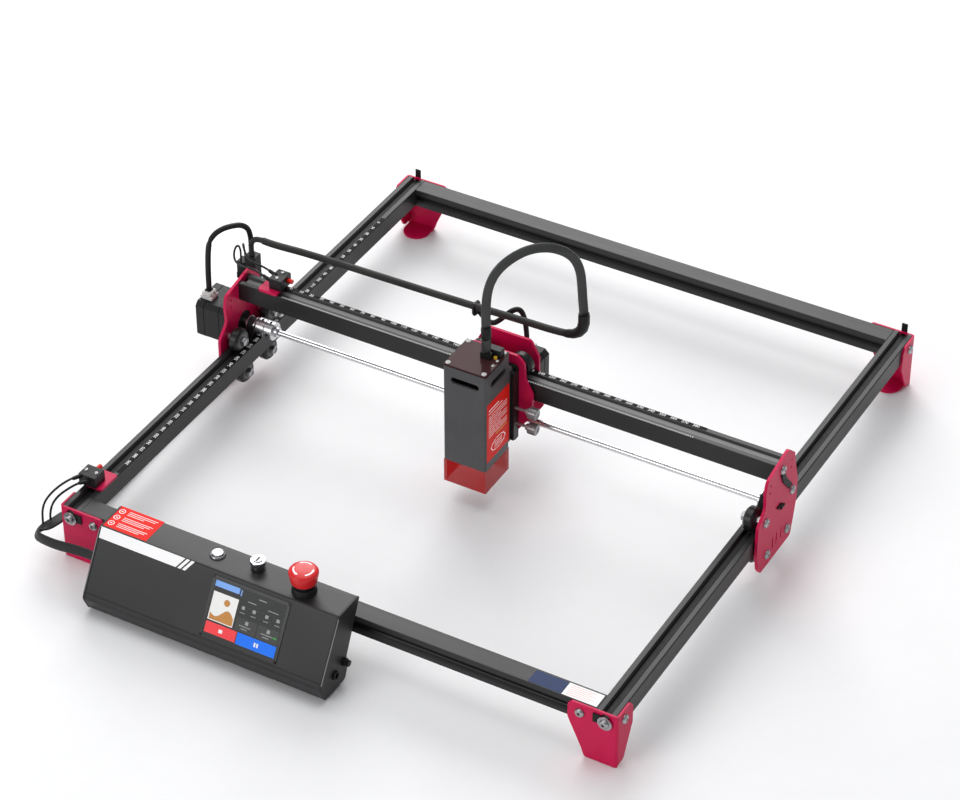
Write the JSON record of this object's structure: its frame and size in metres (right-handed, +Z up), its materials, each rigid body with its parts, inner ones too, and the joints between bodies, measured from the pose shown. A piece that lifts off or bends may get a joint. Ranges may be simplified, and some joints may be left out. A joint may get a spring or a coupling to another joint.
{
  "type": "desktop laser cutter",
  "caption": "Open-frame desktop laser cutter: profile frame, belt-driven gantry, laser module on a carriage, control box with touch screen and stop button.",
  "frame": {"origin": "on the floor under the middle of the machine's bounding box, free cables left out", "axes": "+X to the operator's right, +Y to the back, +Z up"},
  "size_m": [0.6266, 0.6966, 0.2787],
  "materials": {
    "crimson_metal": "semi-gloss powder coat",
    "black_profile": "black anodised",
    "bolt_steel": "plated steel",
    "belt_rubber": "ribbed rubber",
    "box_metal": "fine satin black paint",
    "box_cap": "satin black paint",
    "screen_glass": "glossy display",
    "circuit_board": "solder mask",
    "switch_metal": "polished",
    "black_plastic": "moulded",
    "red_plastic": "gloss moulded",
    "switch_plastic": "moulded",
    "cable_jacket": "smooth jacket",
    "motor_black": "satin black",
    "shaft_steel": "ground steel",
    "pulley_metal": "machined",
    "wheel_plastic": "moulded",
    "laser_metal": "black anodised",
    "top_plate": "gloss",
    "shield_red": "tinted clear",
    "sink_metal": "raw"
  },
  "bodies": {
    "frame": {"left_rail": "black_profile", "right_rail": "black_profile", "cross_profiles": "black_profile", "corner_brackets": "crimson_metal", "frame_bolts": "bolt_steel", "y_belts": "belt_rubber", "box_shell": "box_metal", "box_end_caps": "box_cap", "box_brackets": "box_cap", "touch_screen": "screen_glass", "control_board": "circuit_board", "switch_bezels": "switch_metal", "side_sockets": "black_plastic", "y_switch_plate": "crimson_metal", "y_switch_body": "switch_plastic", "main_cable": "cable_jacket", "y_switch_wires": "cable_jacket"},
    "power_button": {"power_button": "switch_metal"},
    "key_cylinder": {"key_cylinder": "switch_metal"},
    "estop_stem": {"estop_stem": "black_plastic"},
    "estop_head": {"estop_head": "red_plastic"},
    "y_switch_button": {"y_switch_button": "red_plastic"},
    "gantry": {"left_gantry_plate": "crimson_metal", "right_gantry_plate": "crimson_metal", "gantry_bolts": "bolt_steel", "x_beam": "black_profile", "x_belt": "belt_rubber", "y_motor": "motor_black", "cable_stand": "black_plastic", "x_switch_plate": "crimson_metal", "x_switch_body": "switch_plastic", "laser_cable": "cable_jacket", "y_motor_cable": "cable_jacket", "x_switch_wires": "cable_jacket"},
    "x_switch_button": {"x_switch_button": "red_plastic"},
    "front_upper_wheels": {"front_upper_wheels": "wheel_plastic"},
    "rear_upper_wheels": {"rear_upper_wheels": "wheel_plastic"},
    "front_lower_wheels": {"front_lower_wheels": "wheel_plastic"},
    "rear_lower_wheels": {"rear_lower_wheels": "wheel_plastic"},
    "drive_shaft": {"drive_shaft": "shaft_steel", "shaft_coupling": "pulley_metal", "y_pulleys": "pulley_metal"},
    "carriage": {"carriage_front_plate": "crimson_metal", "carriage_rear_plate": "crimson_metal", "carriage_bolts": "bolt_steel", "x_motor": "motor_black", "height_slide": "laser_metal", "x_motor_cable": "cable_jacket"},
    "left_upper_roller": {"left_upper_roller": "wheel_plastic"},
    "right_upper_roller": {"right_upper_roller": "wheel_plastic"},
    "left_lower_roller": {"left_lower_roller": "wheel_plastic"},
    "right_lower_roller": {"right_lower_roller": "wheel_plastic"},
    "x_pulley": {"x_pulley": "pulley_metal"},
    "thumbscrew_upper": {"thumbscrew_upper": "switch_metal"},
    "thumbscrew_lower": {"thumbscrew_lower": "switch_metal"},
    "laser": {"laser_housing": "laser_metal", "laser_top_plate": "top_plate", "laser_shield": "shield_red", "laser_core": "sink_metal"},
    "laser_fan": {"laser_fan": "black_plastic"}
  },
  "joints": [
    {"name": "gantry_slide", "type": "slide", "parent": "frame", "child": "gantry", "axis": [0, 1, 0], "range_m": [-0.205, 0.205], "deforming": ["main_cable"]},
    {"name": "carriage_slide", "type": "slide", "parent": "gantry", "child": "carriage", "axis": [1, 0, 0], "range_m": [-0.2, 0.2], "deforming": ["laser_cable"]},
    {"name": "laser_height", "type": "slide", "parent": "carriage", "child": "laser", "axis": [0, 0, 1], "range_m": [-0.02, 0.03]},
    {"name": "front_upper_wheels_spin", "type": "hinge", "parent": "gantry", "child": "front_upper_wheels", "pos_m": [0.0187, -0.00357, 0.0699], "axis": [1, 0, 0], "range_deg": [-1080, 1080]},
    {"name": "rear_upper_wheels_spin", "type": "hinge", "parent": "gantry", "child": "rear_upper_wheels", "pos_m": [0.0187, 0.05243, 0.0699], "axis": [1, 0, 0], "range_deg": [-1080, 1080]},
    {"name": "front_lower_wheels_spin", "type": "hinge", "parent": "gantry", "child": "front_lower_wheels", "pos_m": [0.0187, 0.00293, 0.0281], "axis": [1, 0, 0], "range_deg": [-1080, 1080]},
    {"name": "rear_lower_wheels_spin", "type": "hinge", "parent": "gantry", "child": "rear_lower_wheels", "pos_m": [0.0187, 0.04593, 0.0281], "axis": [1, 0, 0], "range_deg": [-1080, 1080]},
    {"name": "drive_shaft_spin", "type": "hinge", "parent": "gantry", "child": "drive_shaft", "pos_m": [0.0187, 0.02443, 0.0705], "axis": [1, 0, 0], "range_deg": [-1850, 1850]},
    {"name": "left_upper_roller_spin", "type": "hinge", "parent": "carriage", "child": "left_upper_roller", "pos_m": [-0.0023, 0.02743, 0.1314], "axis": [0, 1, 0], "range_deg": [-1080, 1080]},
    {"name": "right_upper_roller_spin", "type": "hinge", "parent": "carriage", "child": "right_upper_roller", "pos_m": [0.0397, 0.02743, 0.1314], "axis": [0, 1, 0], "range_deg": [-1080, 1080]},
    {"name": "left_lower_roller_spin", "type": "hinge", "parent": "carriage", "child": "left_lower_roller", "pos_m": [-0.0023, 0.02743, 0.0896], "axis": [0, 1, 0], "range_deg": [-1080, 1080]},
    {"name": "right_lower_roller_spin", "type": "hinge", "parent": "carriage", "child": "right_lower_roller", "pos_m": [0.0397, 0.02743, 0.0896], "axis": [0, 1, 0], "range_deg": [-1080, 1080]},
    {"name": "x_pulley_spin", "type": "hinge", "parent": "carriage", "child": "x_pulley", "pos_m": [0.0187, 0.02743, 0.091], "axis": [0, 1, 0], "range_deg": [-1850, 1850]},
    {"name": "power_press", "type": "slide", "parent": "frame", "child": "power_button", "axis": [0, 0, -1], "range_m": [0, 0.0015], "stiffness_N_per_m": 600},
    {"name": "key_turn", "type": "hinge", "parent": "frame", "child": "key_cylinder", "pos_m": [-0.0509, -0.29207, 0.08], "axis": [0, 0, 1], "range_deg": [0, 90]},
    {"name": "estop_press", "type": "slide", "parent": "frame", "child": "estop_stem", "axis": [0, 0, -1], "range_m": [0, 0.004], "stiffness_N_per_m": 1200},
    {"name": "estop_twist", "type": "hinge", "parent": "estop_stem", "child": "estop_head", "pos_m": [0.0007, -0.29757, 0.09], "axis": [0, 0, -1], "range_deg": [0, 30], "stiffness_Nm_per_rad": 0.05},
    {"name": "y_switch_press", "type": "slide", "parent": "frame", "child": "y_switch_button", "axis": [0, -1, 0], "range_m": [0, 0.002], "stiffness_N_per_m": 300},
    {"name": "x_switch_press", "type": "slide", "parent": "gantry", "child": "x_switch_button", "axis": [-1, 0, 0], "range_m": [0, 0.002], "stiffness_N_per_m": 300},
    {"name": "thumbscrew_upper_turn", "type": "hinge", "parent": "carriage", "child": "thumbscrew_upper", "pos_m": [0.0637, 0.00623, 0.095], "axis": [1, 0, 0], "continuous": true},
    {"name": "thumbscrew_lower_turn", "type": "hinge", "parent": "carriage", "child": "thumbscrew_lower", "pos_m": [0.0637, 0.00623, 0.077], "axis": [1, 0, 0], "continuous": true},
    {"name": "fan_spin", "type": "hinge", "parent": "laser", "child": "laser_fan", "pos_m": [0.0187, -0.02187, 0.129], "axis": [0, 0, 1], "continuous": true}
  ],
  "couplings": [
    {"joint": "front_upper_wheels_spin", "follows": "gantry_slide", "rad_per_m": -91.74},
    {"joint": "rear_upper_wheels_spin", "follows": "gantry_slide", "rad_per_m": -91.74},
    {"joint": "front_lower_wheels_spin", "follows": "gantry_slide", "rad_per_m": 91.74},
    {"joint": "rear_lower_wheels_spin", "follows": "gantry_slide", "rad_per_m": 91.74},
    {"joint": "drive_shaft_spin", "follows": "gantry_slide", "rad_per_m": 157.08},
    {"joint": "left_upper_roller_spin", "follows": "carriage_slide", "rad_per_m": 91.74},
    {"joint": "right_upper_roller_spin", "follows": "carriage_slide", "rad_per_m": 91.74},
    {"joint": "left_lower_roller_spin", "follows": "carriage_slide", "rad_per_m": -91.74},
    {"joint": "right_lower_roller_spin", "follows": "carriage_slide", "rad_per_m": -91.74},
    {"joint": "x_pulley_spin", "follows": "carriage_slide", "rad_per_m": 157.08}
  ]
}
